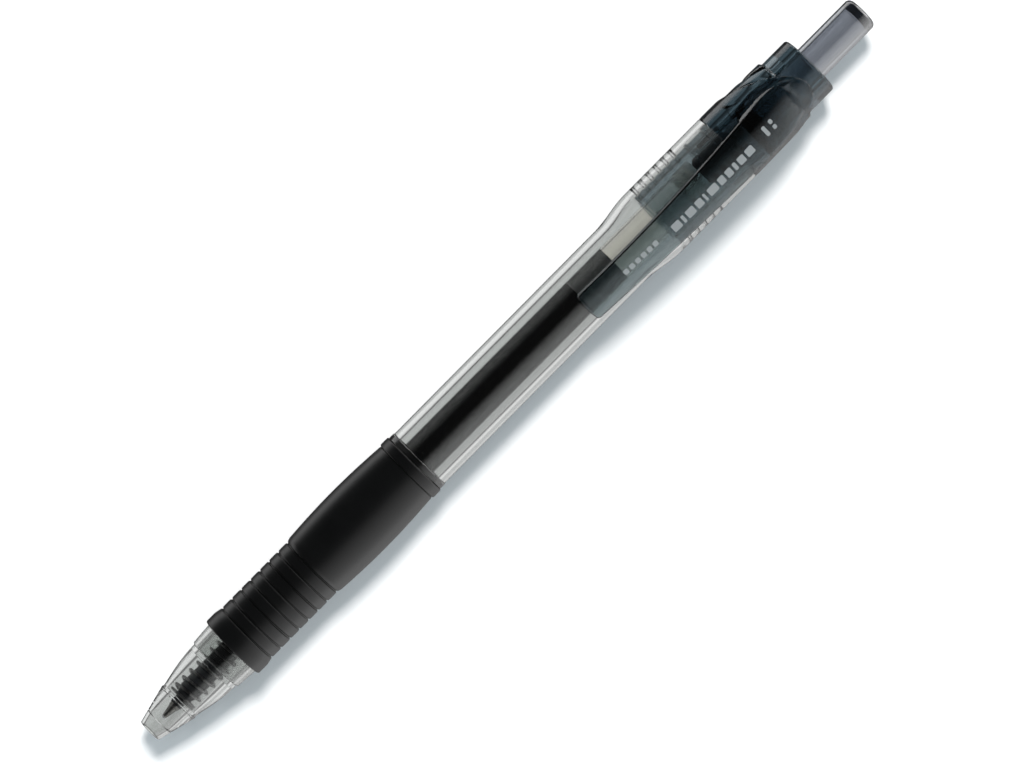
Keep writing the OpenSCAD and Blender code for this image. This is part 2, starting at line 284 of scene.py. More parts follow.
def ramp(tree, source, stops):
    """A colour ramp on a 0 to 1 signal. Stops are (place, color), with the two end stops first."""
    made = node(tree, "ShaderNodeValToRGB")
    elements = made.color_ramp.elements
    for element, (place, color) in zip(elements, stops[:2]):
        element.position, element.color = place, (*color, 1)
    for place, color in stops[2:]:
        elements.new(place).color = (*color, 1)
    tree.links.new(source, made.inputs[0])
    return made.outputs[0]


def let_lamps_through(tree, shader, output, middle, rim):
    """Light reaches what lies behind the plastic: shadow and diffuse rays pass with a tint.

    A curved wall spreads the light that meets it at a slant, so the tint goes from middle to rim.
    """
    slant = node(tree, "ShaderNodeLayerWeight", Blend=0.65)
    tint = node(tree, "ShaderNodeMixRGB", Color1=(*middle, 1), Color2=(*rim, 1))
    clear = node(tree, "ShaderNodeBsdfTransparent")
    path = node(tree, "ShaderNodeLightPath")
    either = node(tree, "ShaderNodeMath", operation="MAXIMUM")
    mix = node(tree, "ShaderNodeMixShader")
    tree.links.new(slant.outputs["Facing"], tint.inputs[0])
    tree.links.new(tint.outputs[0], clear.inputs["Color"])
    tree.links.new(path.outputs["Is Shadow Ray"], either.inputs[0])
    tree.links.new(path.outputs["Is Diffuse Ray"], either.inputs[1])
    tree.links.new(either.outputs[0], mix.inputs[0])
    tree.links.new(shader.outputs[0], mix.inputs[1])
    tree.links.new(clear.outputs[0], mix.inputs[2])
    tree.links.new(mix.outputs[0], output.inputs["Surface"])


def see_through(name, color, middle, rim, rough=(0.0, 0.03), absorb=None, density=0.0, coat=0.0):
    """Moulded see-through plastic with faint flow waves and handling marks."""
    mat, tree, shader, output = material(name)
    shader.inputs["Coat Weight"].default_value = coat
    shader.inputs["Coat IOR"].default_value = COAT_IOR
    shader.inputs["Base Color"].default_value = (*color, 1)
    shader.inputs["Transmission Weight"].default_value = 1.0
    shader.inputs["IOR"].default_value = PLASTIC_IOR
    marks = grain(tree, 900, 6.0, stretch=(0.25, 1, 1))
    tree.links.new(to_range(tree, marks.outputs[0], *rough), shader.inputs["Roughness"])
    flow = grain(tree, 120, 1.0, stretch=(0.3, 1, 1))
    bump(tree, flow.outputs[0], shader, 0.0002)
    let_lamps_through(tree, shader, output, middle, rim)
    if absorb:
        volume = node(tree, "ShaderNodeVolumeAbsorption", Color=(*absorb, 1), Density=density)
        tree.links.new(volume.outputs[0], output.inputs["Volume"])
    return mat


def clear_plastic():
    """The nose and the barrel."""
    return see_through("clear_plastic", (0.72, 0.735, 0.725), middle=(0.5, 0.52, 0.53),
                       rim=(0.04, 0.045, 0.05))


def smoky_plastic():
    """The cap."""
    return see_through("smoky_plastic", (0.9, 0.93, 0.95), middle=(0.4, 0.46, 0.5), rim=(0.06, 0.07, 0.08),
                       absorb=(0.34, 0.435, 0.475), density=820)


def clip_plastic():
    """The clip's faces and the hood."""
    return see_through("clip_plastic", (0.9, 0.93, 0.94), middle=(0.35, 0.4, 0.43), rim=(0.06, 0.07, 0.08),
                       absorb=(0.28, 0.42, 0.46), density=900)


def clip_flank_painted_shade():
    """The clip's sides and the outer rounding of its edge. This is the clip's plastic with its colour
    darkened almost to black: painted shade that draws a dark line along the edge.
    """
    return see_through("clip_flank_painted_shade", (0.03, 0.04, 0.042), middle=(0.3, 0.35, 0.38), rim=(0.06, 0.07, 0.08),
                       rough=(0.08, 0.2), absorb=(0.28, 0.42, 0.46), density=900)


def button_plastic():
    """The push button, a little greyer, with a bright gloss."""
    return see_through("button_plastic", (0.93, 0.94, 0.97), middle=(0.55, 0.56, 0.6),
                       rim=(0.08, 0.08, 0.1), rough=(0.02, 0.06), absorb=(0.34, 0.375, 0.425),
                       density=1250, coat=0.8)


def grip_rubber():
    """Matt black rubber with a little dust."""
    mat, tree, shader, _ = material("grip_rubber")
    dust = grain(tree, 260, 4.0)
    tone = ramp(tree, dust.outputs[0], [(0, (0.0012, 0.0012, 0.0013)), (1, (0.003, 0.0032, 0.0033))])
    tree.links.new(tone, shader.inputs["Base Color"])
    fine = grain(tree, 9000, 2.0)
    tree.links.new(to_range(tree, fine.outputs[0], 0.3, 0.4), shader.inputs["Roughness"])
    bump(tree, fine.outputs[0], shader, 0.012, 0.6)
    shader.inputs["Specular IOR Level"].default_value = 0.37
    return mat


def plain_plastic(name, color, rough=(0.35, 0.5), scale=600, depth=0.006, gloss=0.5):
    """Moulded opaque or cloudy plastic with a fine grain."""
    mat, tree, shader, _ = material(name)
    shader.inputs["Specular IOR Level"].default_value = gloss
    patches = grain(tree, 300, 2.0)
    tone = ramp(tree, patches.outputs[0], [(0, [c * 0.9 for c in color]), (1, [c * 1.06 for c in color])])
    tree.links.new(tone, shader.inputs["Base Color"])
    fine = grain(tree, scale, 3.0)
    tree.links.new(to_range(tree, fine.outputs[0], *rough), shader.inputs["Roughness"])
    bump(tree, fine.outputs[0], shader, depth)
    return mat


def milky_plastic(name, color):
    """Polypropylene: clear with a little haze."""
    mat, tree, shader, output = material(name)
    shader.inputs["Base Color"].default_value = (*color, 1)
    shader.inputs["Transmission Weight"].default_value = 1.0
    shader.inputs["IOR"].default_value = 1.49
    haze = grain(tree, 500, 3.0, stretch=(0.2, 1, 1))
    tree.links.new(to_range(tree, haze.outputs[0], 0.02, 0.06), shader.inputs["Roughness"])
    bump(tree, haze.outputs[0], shader, 0.0005)
    let_lamps_through(tree, shader, output, (0.86, 0.84, 0.8), (0.4, 0.39, 0.37))
    return mat


def steel(name, color, rough, ring_scale):
    """Drawn or turned metal with fine rings round the pen's line."""
    mat, tree, shader, _ = material(name)
    shader.inputs["Base Color"].default_value = (*color, 1)
    shader.inputs["Metallic"].default_value = 1.0
    marks = grain(tree, ring_scale, 2.0, stretch=(6, 1, 1))
    tree.links.new(to_range(tree, marks.outputs[0], *rough), shader.inputs["Roughness"])
    bump(tree, marks.outputs[0], shader, 0.003)
    return mat


CLEAR = clear_plastic()
SMOKY = smoky_plastic()
CLIP = clip_plastic()
BUTTON = button_plastic()
RUBBER = grip_rubber()
FLANK_PAINTED_SHADE = clip_flank_painted_shade()
TUBE = milky_plastic("tube_plastic", (0.96, 0.94, 0.9))
INK = plain_plastic("gel_ink", (0.005, 0.005, 0.006), rough=(0.12, 0.2), depth=0.002, gloss=0.05)
GREASE = plain_plastic("follower_grease", (0.12, 0.12, 0.125), rough=(0.2, 0.35), depth=0.004)
HOLDER = plain_plastic("holder_plastic", (0.035, 0.035, 0.038), rough=(0.25, 0.4))
CAM = plain_plastic("cam_plastic", (0.1, 0.105, 0.11))
PLUG = milky_plastic("plug_plastic", (0.8, 0.78, 0.74))
PRINT = plain_plastic("print_ink", (0.2, 0.215, 0.22), rough=(0.3, 0.5), scale=2500)
SPRING_STEEL = steel("spring_steel", (0.2, 0.2, 0.2), (0.25, 0.4), 3000)
NIB_STEEL = steel("nib_steel", (0.28, 0.27, 0.26), (0.2, 0.4), 4000)
BALL_STEEL = steel("ball_carbide", (0.6, 0.6, 0.62), (0.05, 0.12), 4000)


def dress(obj, mat, body, nodes):
    """Gives a piece its material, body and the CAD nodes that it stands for."""
    obj.data.materials.clear()
    obj.data.materials.append(mat)
    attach(obj, body)
    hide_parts(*nodes)


# ---------------------------------------------------------------- nose and barrel

# The rings that draw the thread lie this far apart.
THREAD_STEP = 0.08


def make_nose():
    """The clear cone: a fine groove behind the tip, a step, a belly, and a spigot for the barrel. Its bore
    narrows at the spring's seat and at the tip."""
    step_x, step_r, shoulder_r, end_r = 5.9, 3.3, 3.17, 4.2
    tip_r, tip_bore_r, nib_bore_r, spring_bore_r, rear_bore_r = 1.8, 1.15, 1.75, 2.55, 3.1
    groove_x, groove_r = 2.05, 2.2
    seat_x, rear_bore_x, belly_x = step_x + 0.5, NOSE_END - 0.8, step_x + 0.3
    belly = []
    steps = 12
    for i in range(1, steps + 1):
        t = i / steps
        belly.append((belly_x + (NOSE_END - belly_x) * t,
                      shoulder_r + (end_r - shoulder_r) * math.sin(math.pi / 2 * t),
                      0.08 if i == steps else 0))
    corners = [
        (0, tip_bore_r, 0.08), (0, tip_r, 0.16), (groove_x - 0.1, groove_r + 0.1, 0.05),
        (groove_x, groove_r, 0.03), (groove_x + 0.13, groove_r + 0.16, 0.05),
        (step_x, step_r, 0.08), (step_x + 0.12, shoulder_r, 0.03), *belly,
        (NOSE_END, SPIGOT_R, 0.02), (SPIGOT_END, SPIGOT_R, 0.1), (SPIGOT_END, rear_bore_r, 0.05),
        (rear_bore_x, rear_bore_r, 0.05), (rear_bore_x, spring_bore_r, 0.05),
        (seat_x, spring_bore_r, 0.08), (seat_x, nib_bore_r, 0.06), (groove_x + 0.05, nib_bore_r, 0.1)]
    dress(turned("nose_shell", rounded(corners)), CLEAR, "housing", ["nose_cone"])


def barrel_outside(x):
    """Radius of the barrel behind the grip."""
    t = (x - FLARE_START) / (SOCKET_START - FLARE_START)
    return BARREL_R + (BARREL_REAR_R - BARREL_R) * math.sin(math.pi / 2 * max(0, min(1, t))) ** 2


def thread_height(x, angle):
    """Height, 0 to 1, of the helical thread between the barrel and the cap."""
    start, turns, pitch, fade_turns, flank = CAP_START - 0.35, 6.4, 1.5, 0.7, 0.285
    along = (x - start) / pitch
    phase = (along - angle / (2 * math.pi)) % 1.0
    fade = smooth(along / fade_turns) * smooth((turns - along) / fade_turns)
    return smooth(1 - abs(phase - 0.5) / flank) * fade


def make_barrel():
    """The clear tube: a seat for the grip, a flange over its lip, a flare, and a threaded socket."""
    gap, front_r, collar_r, flange_r, groove_depth = 0.02, 4.45, 4.7, BARREL_R + 0.1, 0.12
    front, collar, flange = NOSE_END + 2 * gap, GRIP_START - gap, GRIP_END + gap
    lip_end, flange_end, rear = GRIP_END + LIP_LEN, GRIP_END + 0.9, BARREL_END - 0.03
    flare = []
    steps = 24
    for i in range(steps + 1):
        x = FLARE_START + (SOCKET_START - FLARE_START) * i / steps
        flare.append((x, barrel_outside(x), 0))
    bore = []
    steps = 20
    for i in range(steps, -1, -1):
        t = i / steps
        bore.append((BORE_FLARE_START + (SOCKET_START - BORE_FLARE_START) * t,
                     BORE_R + (REAR_BORE_R - BORE_R) * math.sin(math.pi / 2 * t) ** 2))
    first = rounded([
        (SPIGOT_END + 0.3, BORE_R, 0), (SPIGOT_END + 0.2, SPIGOT_R, 0.02),
        (front, SPIGOT_R, 0.02), (front, front_r, 0.1), (collar, collar_r, 0.05), (collar, GRIP_SEAT_R, 0.02),
        (lip_end, GRIP_SEAT_R, 0.02), (lip_end, LIP_R, 0.02), (flange, LIP_R, 0.02),
        (flange, flange_r, 0.1), (flange_end, flange_r, 0.06), (flange_end + 0.1, BARREL_R, 0.04), *flare,
        (rear, BARREL_REAR_R, 0.1), (rear, SOCKET_R, 0.1), (CAP_START + 9.6, SOCKET_R, 0)], closed=False)

    def groove(x):
        return lambda angle: (x, SOCKET_R + groove_depth * thread_height(x, angle))

    thread = [groove(CAP_START + 9.4 - THREAD_STEP * i) for i in range(123)]
    outline = [*first, *thread, (SOCKET_START, SOCKET_R), (SOCKET_START, REAR_BORE_R), *bore]
    dress(turned("barrel_shell", outline, 200), CLEAR, "housing", ["barrel"])


# ---------------------------------------------------------------- grip

FIRST_GROOVE = GRIP_START + 3.05
GROOVE_PITCH = 1.88
GROOVE_COUNT = 8
LAST_GROOVE = FIRST_GROOVE + GROOVE_PITCH * (GROOVE_COUNT - 1)
GRIP_COLLAR = GRIP_END - 1.7
BEAD_R = 5.28
RING_R = 5.06
SWELL_R = 5.57


def grip_outside(x):
    """Radius of the grip in front of its collar: a bead, grooved rings and a long swell."""
    bead_end, swell_foot = GRIP_START + 1.6, 0.05
    groove_half, groove_depth, dip_half, dip_depth = 0.17, 0.19, 0.5, 0.04
    if x < FIRST_GROOVE:
        r = BEAD_R + (RING_R - BEAD_R) * smooth((x - bead_end) / (FIRST_GROOVE - bead_end))
    elif x < LAST_GROOVE:
        r = RING_R
    else:
        t = (x - LAST_GROOVE) / (GRIP_COLLAR - LAST_GROOVE)
        arch = math.sin(math.pi * min(1, 0.04 + 0.93 * t)) ** 0.9
        swell = swell_foot + (SWELL_R - RING_R - swell_foot) * arch
        r = RING_R + swell * smooth((x - LAST_GROOVE) / 0.8)
    if FIRST_GROOVE - 1 < x < LAST_GROOVE + 1:
        nearest = max(0, min(GROOVE_COUNT - 1, round((x - FIRST_GROOVE) / GROOVE_PITCH)))
        away = abs(x - FIRST_GROOVE - GROOVE_PITCH * nearest)
        if away < groove_half:
            r -= groove_depth * math.cos(math.pi / 2 * away / groove_half) ** 0.8
        r -= dip_depth * (1 - smooth(away / dip_half))
    return r


def make_grip():
    """The rubber sleeve, with a collar at its back and a lip that runs into the barrel."""
    collar_r, lip_r, lip_end = 5.36, LIP_R + 0.006, GRIP_END + LIP_LEN - 0.03
    first, last, steps = GRIP_START + 0.62, GRIP_COLLAR - 0.1, 560
    places = [first + (last - first) * i / steps for i in range(steps + 1)]
    corners = [
        (GRIP_START, GRIP_SEAT_R, 0.02), (GRIP_START, BEAD_R, 0.6),
        *[(x, grip_outside(x), 0) for x in places],
        (GRIP_COLLAR, RING_R - 0.02, 0.05), (GRIP_COLLAR + 0.12, collar_r - 0.04, 0.1),
        (GRIP_COLLAR + 0.5, collar_r, 0.2), (GRIP_END, collar_r - 0.02, 0.4), (GRIP_END, lip_r, 0.02),
        (lip_end, lip_r, 0.1), (lip_end, GRIP_SEAT_R + 0.02, 0.05)]
    sleeve = turned("grip_sleeve", rounded(corners, steps=8), crease=50)
    dress(sleeve, RUBBER, "housing", ["grip"])


# ---------------------------------------------------------------- cap

HOOD_END = 131.8
HOOD_SLOPE = math.tan(math.radians(58))
HOOD_FOOT = HOOD_END - BARREL_REAR_R * HOOD_SLOPE
HOOD_LEVEL = BARREL_END + 3.7
HOOD_EDGE_R = 0.35
HOOD_TAPER = 0.2
CAP_BODY_R = 5.4
FLUTE_PITCH = 4.3
FLUTE_COUNT = 2
FLUTE_DEPTH = 0.34
NECK_START = CAP_END - 5.0
NECK_R = 4.85
SLOT_R = 3.5
RIB_R = 2.9


def hood_edge(angle):
    """Place of the hood's slanted back edge. Under the pen the edge runs level near the barrel."""
    slanted = HOOD_FOOT + BARREL_REAR_R * HOOD_SLOPE * math.cos(angle)
    return HOOD_LEVEL + math.log1p(math.exp(slanted - HOOD_LEVEL))


def hood_outside(x):
    """Radius of the hood in front of its back edge."""
    return BARREL_REAR_R - HOOD_TAPER * smooth((x - BARREL_END) / (HOOD_END - BARREL_END))


def cap_outside(x, angle):
    """Radius of the cap behind the hood's edge: the body and the neck. The body has narrow flutes, which
    follow the edge and fade out under the pen."""
    taper, taper_len, fade_height, fade_len, step_half = 0.12, 7, -3.8, 2.2, 0.2
    behind = x - hood_edge(angle)
    nearness = abs(2 * (behind / FLUTE_PITCH % 1.0) - 1)
    flutes = nearness ** 5 if 0 <= behind < FLUTE_PITCH * (FLUTE_COUNT + 0.5) else 0.0
    above = smooth((BARREL_REAR_R * math.cos(angle) - fade_height) / fade_len)
    body = CAP_BODY_R - taper * smooth((x - HOOD_FOOT) / taper_len) - FLUTE_DEPTH * flutes * above
    return body + (NECK_R - body) * smooth((x - NECK_START + 0.25) / (2 * step_half))


def bore_inside(angle):
    """Radius of the cap's bore: four guide ribs with slots between them, a quarter turn apart."""
    rib_half, flank = 15, 1.5
    from_rib = 45 - abs((math.degrees(angle) + 45) % 90 - 45)
    return SLOT_R + (RIB_R - SLOT_R) * smooth((rib_half - from_rib) / flank + 0.5)


def make_cap():
    """From the spigot's front: the thread, a bead, the hood, its rounded edge, the fluted body and the neck,
    and back through the bore."""
    spigot_r, bead_r, seat_r, bore_r, ridge_height = 4.46, 4.71, 4.76, 2.79, 0.14
    bead, seat, ribs_start, rear_wall = 113.2, 116.5, 113.7, CAP_END - 2.8
    face, face_r = BARREL_END + 0.03, BARREL_REAR_R - 0.01
    thread_start, hood_start, neck_end = CAP_START + 0.4, face + 0.5, CAP_END - 0.95

    def ridge(x):
        height = ridge_height * smooth((x - thread_start) / 0.5)
        return lambda angle: (x, spigot_r + height * thread_height(x, angle))

    def hood(share):
        def place(angle):
            x = hood_start + (hood_edge(angle) - HOOD_EDGE_R - 0.05 - hood_start) * share
            return x, hood_outside(x)
        return place

    def edge(turn):
        def place(angle):
            x = hood_edge(angle)
            return (x - HOOD_EDGE_R * (1 - math.sin(turn)),
                    hood_outside(x) - HOOD_EDGE_R * (1 - math.cos(turn)))
        return place

    def body(share):
        def place(angle):
            start = hood_edge(angle) + 0.03
            x = start + (neck_end - start) * share
            return x, cap_outside(x, angle)
        return place

    def rib(x):
        return lambda angle: (x, bore_inside(angle))

    outline = [
        *rounded([(CAP_START, SLOT_R, 0), (CAP_START, spigot_r, 0.15), (thread_start, spigot_r, 0)],
                 closed=False),
        *[ridge(thread_start + 0.06 + THREAD_STEP * i) for i in range(110)],
        *rounded([(bead - 0.1, spigot_r, 0), (bead, bead_r, 0.03), (bead + 0.4, bead_r, 0.03),
                  (bead + 0.45, spigot_r, 0.03), (seat - 0.1, spigot_r, 0.03), (seat, seat_r, 0.03),
                  (face, seat_r, 0.02), (face, face_r, 0.12), (face + 0.4, face_r, 0)], closed=False),
        *[hood(i / 24) for i in range(25)],
        *[edge(math.pi / 2 * i / 8) for i in range(9)],
        *[body((i / 110) ** 1.2) for i in range(111)],
        *rounded([(CAP_END - 0.9, NECK_R, 0), (CAP_END, NECK_R, 0.8), (CAP_END, bore_r, 0.1),
                  (rear_wall, bore_r, 0.05), (rear_wall, SLOT_R, 0)], closed=False),
        *[rib(x) for x in (rear_wall - 0.02, rear_wall - 0.4, 125, 119, 114.2, ribs_start)],
        (ribs_start - 0.1, SLOT_R)]
    dress(turned("cap_shell", outline, 240), SMOKY, "housing", ["cap"])


# ---------------------------------------------------------------- clip

CLIP_TIP = span("clip")[0]
CLIP_TOP = (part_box("clip")[1].z - AXIS_Z) / MM
CLIP_T = 1.3
CLIP_ARC_R = 162.0
CLIP_APEX = 107.5
CLIP_CROWN_R = 7.5
CLIP_SINK = 1.2
SINK_START, SINK_LEN = 124, 7
CLIP_SUNK_R = 4.0
SUNK_START, SUNK_LEN = 120.6, 1.2
HOOD_STRAIGHT = 124.8
TIP_W, ROOT_W = 4.8, 7.4
TIP_CORNER = 0.6
TIP_SPINE = CLIP_TIP + 1.6
# The painted shade along the clip's sides and edge stops at this place.
PAINTED_SHADE_END = 121.0


def clip_half_width(x):
    """Half the clip's width, which grows from the tip to the hood."""
    t = max(0.0, min(1.0, (x - CLIP_TIP) / (HOOD_STRAIGHT - CLIP_TIP)))
    return TIP_W / 2 + (ROOT_W - TIP_W) / 2 * t ** 1.5


def clip_top(x, y):
    """Height of the clip's top above the pen's line. It dives into the hood near its end."""
    arch = CLIP_TOP - (x - CLIP_APEX) ** 2 / (2 * CLIP_ARC_R)
    spine = arch - CLIP_SINK * smooth((x - SINK_START) / SINK_LEN)
    return spine - (CLIP_CROWN_R - math.sqrt(max(0.0, CLIP_CROWN_R ** 2 - y * y)))


def clip_under(x, y):
    """Height of the clip's underside. Under the hood it sinks into the cap."""
    strip = clip_top(x, y * 0.9) - CLIP_T
    sunk = math.sqrt(CLIP_SUNK_R ** 2 - y * y)
    t = smooth((x - SUNK_START) / SUNK_LEN)
    return strip + (min(sunk, strip) - strip) * t


def clip_edge():
    """The clip's outline seen from above, with the spine point that each edge point faces."""
    side = []
    steps = 110
    side_start = CLIP_TIP + TIP_CORNER
    for i in range(steps + 1):
        x = side_start + (HOOD_STRAIGHT - side_start) * i / steps
        side.append((x, clip_half_width(x), min(max(x, TIP_SPINE), HOOD_STRAIGHT)))
    arch = []
    steps = 36
    for i in range(1, steps + 1):
        a = math.pi / 2 * i / steps
        arch.append((HOOD_STRAIGHT + (HOOD_END - HOOD_STRAIGHT) * math.sin(a), ROOT_W / 2 * math.cos(a),
                     HOOD_STRAIGHT))
    front = []
    steps, tip_bow = 8, 0.2
    flat_half = clip_half_width(side_start) - TIP_CORNER
    for i in range(1, steps + 1):
        a = math.pi / 2 * i / steps
        front.append((side_start - TIP_CORNER * math.sin(a), flat_half + TIP_CORNER * math.cos(a), TIP_SPINE))
    for i in range(1, steps + 1):
        y = flat_half * (1 - i / steps)
        front.append((CLIP_TIP - tip_bow * (1 - (y / flat_half) ** 2), y, TIP_SPINE))
    upper = front[::-1] + side + arch
    lower = [(x, -y, s) for x, y, s in upper[::-1] if y > 1e-6]
    return upper + lower


def above_line(x, y, height):
    """The point at place x, beside and above the pen's line, with y and height in millimetres."""
    return at(x, 0) + Vector((0, y * MM, height * MM))


def fillet_drop(inset, fillet):
    """How far a fillet lies off a flat face, at a distance from the face's edge."""
    if inset >= fillet:
        return 0.0
    return fillet - math.sqrt(max(0.0, fillet ** 2 - (fillet - inset) ** 2))


def make_clip():
    """Spokes run from each edge point to the spine. The edge is rounded over along them, and more
    and more where it runs out into the hood."""
    edge = clip_edge()
    under_fillet, top_fillet, growth, growth_start, growth_len = 0.25, 0.3, 0.9, 119, 11
    shares = [0.0, 0.03, 0.07, 0.12, 0.18, 0.25, 0.33, 0.42, 0.52, 0.64, 0.76, 0.88, 1.0]
    bm = bmesh.new()
    rims = {"top": [], "under": []}
    for share in shares:
        tops, unders = [], []
        for x, y, spine in edge:
            px, py = x + (spine - x) * share, y * (1 - share)
            inset = math.hypot(px - x, py - y)
            beside = abs(y) / (ROOT_W / 2)
            fillet = top_fillet + growth * smooth((x - growth_start) / growth_len) * beside ** 2
            high = clip_top(px, py) - fillet_drop(inset, fillet)
            low = clip_under(px, py) + fillet_drop(inset, under_fillet)
            tops.append(bm.verts.new(above_line(px, py, high)))
            unders.append(bm.verts.new(above_line(px, py, low)))
        rims["top"].append(tops)
        rims["under"].append(unders)
    # Short of the hood, faces on the sides and on the two outer rings of the rounding take the clip's second
    # material, a darkened copy of its plastic: painted shade along the edge.
    count = len(edge)
    for rings in rims.values():
        for a, b in zip(rings, rings[1:]):
            for k in range(count):
                n = (k + 1) % count
                corner = [a[k], a[n], b[n], b[k]]
                if len({tuple(round(c, 8) for c in v.co) for v in corner}) > 2:
                    dark = a in rings[:2] and edge[k][0] < PAINTED_SHADE_END
                    bm.faces.new(corner).material_index = int(dark)
    top, under = rims["top"][0], rims["under"][0]
    for k in range(count):
        n = (k + 1) % count
        bm.faces.new((top[n], top[k], under[k], under[n])).material_index = int(edge[k][0] < PAINTED_SHADE_END)
    bmesh.ops.remove_doubles(bm, verts=bm.verts, dist=2e-6)
    bmesh.ops.dissolve_degenerate(bm, edges=bm.edges, dist=1e-7)
    clip = finish_mesh("clip_and_hood", bm, 42)
    clip.data.materials.append(CLIP)
    clip.data.materials.append(FLANK_PAINTED_SHADE)
    flex_with_clip(clip)


def flex_with_clip(obj):
    """Bakes the piece's placing into its mesh and hides the CAD clip."""
    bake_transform(obj)
    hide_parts("clip")


def mark_boxes():
    """The printed bars as (x0, x1, y0, y1): a row of wide ones, a row of dashes and two small groups."""
    bars = [(103.4, 1.5), (105.3, 0.5), (106.2, 1.5), (108.1, 1.2), (109.7, 0.4), (110.6, 1.7), (112.7, 1.1),
            (114.2, 1.1), (115.7, 0.6), (116.7, 1.2), (118.3, 1.4)]
    small = [(122.3, -0.7, 1.7), (123.7, -0.7, 0.7), (123.7, 0.3, 0.7)]
    dash_start, dash_pitch, dash_len = 94.1, 1.15, 0.8
    boxes = [(x, x + length, -0.75, 0.5) for x, length in bars]
    boxes += [(dash_start + dash_pitch * i, dash_start + dash_pitch * i + dash_len, -0.15, 0.65)
              for i in range(6)]
    boxes += [(x, x + 0.6, y, y + length) for x, y, length in small]
    return boxes


def add_bar(bm, x0, x1, y0, y1):
    """A thin raised bar on top of the clip, with its corners cut."""
    across, along, corner = 6, max(3, round((x1 - x0) / 0.2)), 0.1
    layers = []
    for lift in (-0.02, 0.008):
        rows = []
        for i in range(along + 1):
            x = x0 + (x1 - x0) * i / along
            shorter = corner if i in (0, along) else 0.0
            row = []
            for k in range(across + 1):
                y = y0 + shorter + (y1 - y0 - 2 * shorter) * k / across
                row.append(bm.verts.new(above_line(x, y, clip_top(x, y) + lift)))
            rows.append(row)
        layers.append(rows)
    rims = []
    for rows, flip in zip(layers, (True, False)):
        for a, b in zip(rows, rows[1:]):
            for k in range(across):
                corners = (a[k], b[k], b[k + 1], a[k + 1])
                bm.faces.new(corners[::-1] if flip else corners)
        right, left = [row[-1] for row in rows[1:-1]], [row[0] for row in rows[-2:0:-1]]
        rims.append(rows[0] + right + rows[-1][::-1] + left)
    low, high = rims
    for k in range(len(low)):
        n = (k + 1) % len(low)
        bm.faces.new((low[k], low[n], high[n], high[k]))


def make_marks():
    """Plain printed bars on top of the clip, which follow its arch and crown."""
    bm = bmesh.new()
    for box in mark_boxes():
        add_bar(bm, *box)
    marks = finish_mesh("printed_marks", bm, 40)
    marks.data.materials.append(PRINT)
    flex_with_clip(marks)


# ---------------------------------------------------------------- push button

def make_button():
    """A hollow button with a solid end. The bore's end is a flat dome."""
    front, shoulder = span("push_button")[0], CAP_END + 0.1
    bore_r, inner_r, outer_r, end_round = 2.0, 2.5, 2.7, 0.8
    dome_start, dome_len, steps = PEN_LEN - 1.6, 0.35, 14
    dome = []
    for i in range(steps, 0, -1):
        a = math.pi / 2 * i / steps
        dome.append((dome_start + dome_len * math.sin(a), bore_r * math.cos(a), 0))
    corners = [
        (front, bore_r, 0.05), (front, inner_r, 0.05), (shoulder, inner_r, 0.03), (shoulder, outer_r, 0.1),
        (PEN_LEN, outer_r, end_round), (PEN_LEN, 0.0, 0), *dome, (dome_start, bore_r, 0)]
    shell = turned("button_shell", rounded(corners, steps=8))
    dress(shell, BUTTON, "push_button", ["push_button"])


# ---------------------------------------------------------------- refill

# The ink and the grease overlap the tube's bore a little, so that no gap shows.
WET_R = TUBE_BORE_R + 0.006
INK_END = span("follower")[0]


def refill_piece(name, corners, segments, mat, cad_node):
    """A turned piece of the refill that stands for one CAD node."""
    dress(turned(name, rounded(corners), segments), mat, "refill", [cad_node])


def make_tube():
    """The refill's open tube."""
    front, end = span("refill_tube")
    corners = [(front, TUBE_BORE_R, 0.02), (front, TUBE_R, 0.06),
               (end, TUBE_R, 0.06), (end, TUBE_BORE_R, 0.02)]
    refill_piece("refill_tube_shell", corners, 128, TUBE, "refill_tube")


def make_ink():
    """The ink's column, with a hollow end where the grease touches it."""
    front = span("refill_tube")[0] + 4.1
    corners = [(front, 0, 0), (front, WET_R, 0.02), (INK_END + 0.5, WET_R, 0.01),
               (INK_END + 0.12, WET_R - 0.35, 0), (INK_END - 0.15, WET_R * 0.5, 0), (INK_END - 0.22, 0, 0)]
    refill_piece("ink_column", corners, 96, INK, "ink")


def make_grease():
    """The grease plug that follows the ink, hollow at its back."""
    end = span("follower")[1]
    corners = [(INK_END - 0.2, 0, 0), (INK_END - 0.13, WET_R * 0.5, 0), (INK_END + 0.14, WET_R - 0.35, 0),
               (INK_END + 0.52, WET_R, 0), (end + 0.45, WET_R, 0.01), (end + 0.05, WET_R - 0.3, 0),
               (end - 0.3, WET_R * 0.5, 0), (end - 0.36, 0, 0)]
    refill_piece("follower_plug", corners, 96, GREASE, "follower")


def make_holder():
    """The nib's holder: a neck, a shoulder for the spring and a plug in the tube."""
    front, shoulder, tube_front = span("nib_holder")[0], 26.0, span("refill_tube")[0]
    socket_r, lip_r, neck_r, plug_r = 0.65, 0.95, 1.6, TUBE_BORE_R - 0.01
    plug_end = tube_front + 4
    corners = [
        (front, socket_r, 0.03), (front, lip_r, 0.08), (front + 1, lip_r, 0.05),
        (front + 2.8, neck_r, 0.3), (shoulder - 1.5, neck_r, 0.3), (shoulder, neck_r + 0.3, 0.05),
        (shoulder, TUBE_R, 0.1), (tube_front - 0.02, TUBE_R, 0.1), (tube_front, plug_r, 0.02),
        (plug_end, plug_r, 0.2), (plug_end, 0, 0), (front + 0.3, 0, 0), (front + 0.3, socket_r, 0)]
    refill_piece("nib_holder_body", corners, 96, HOLDER, "nib_holder")


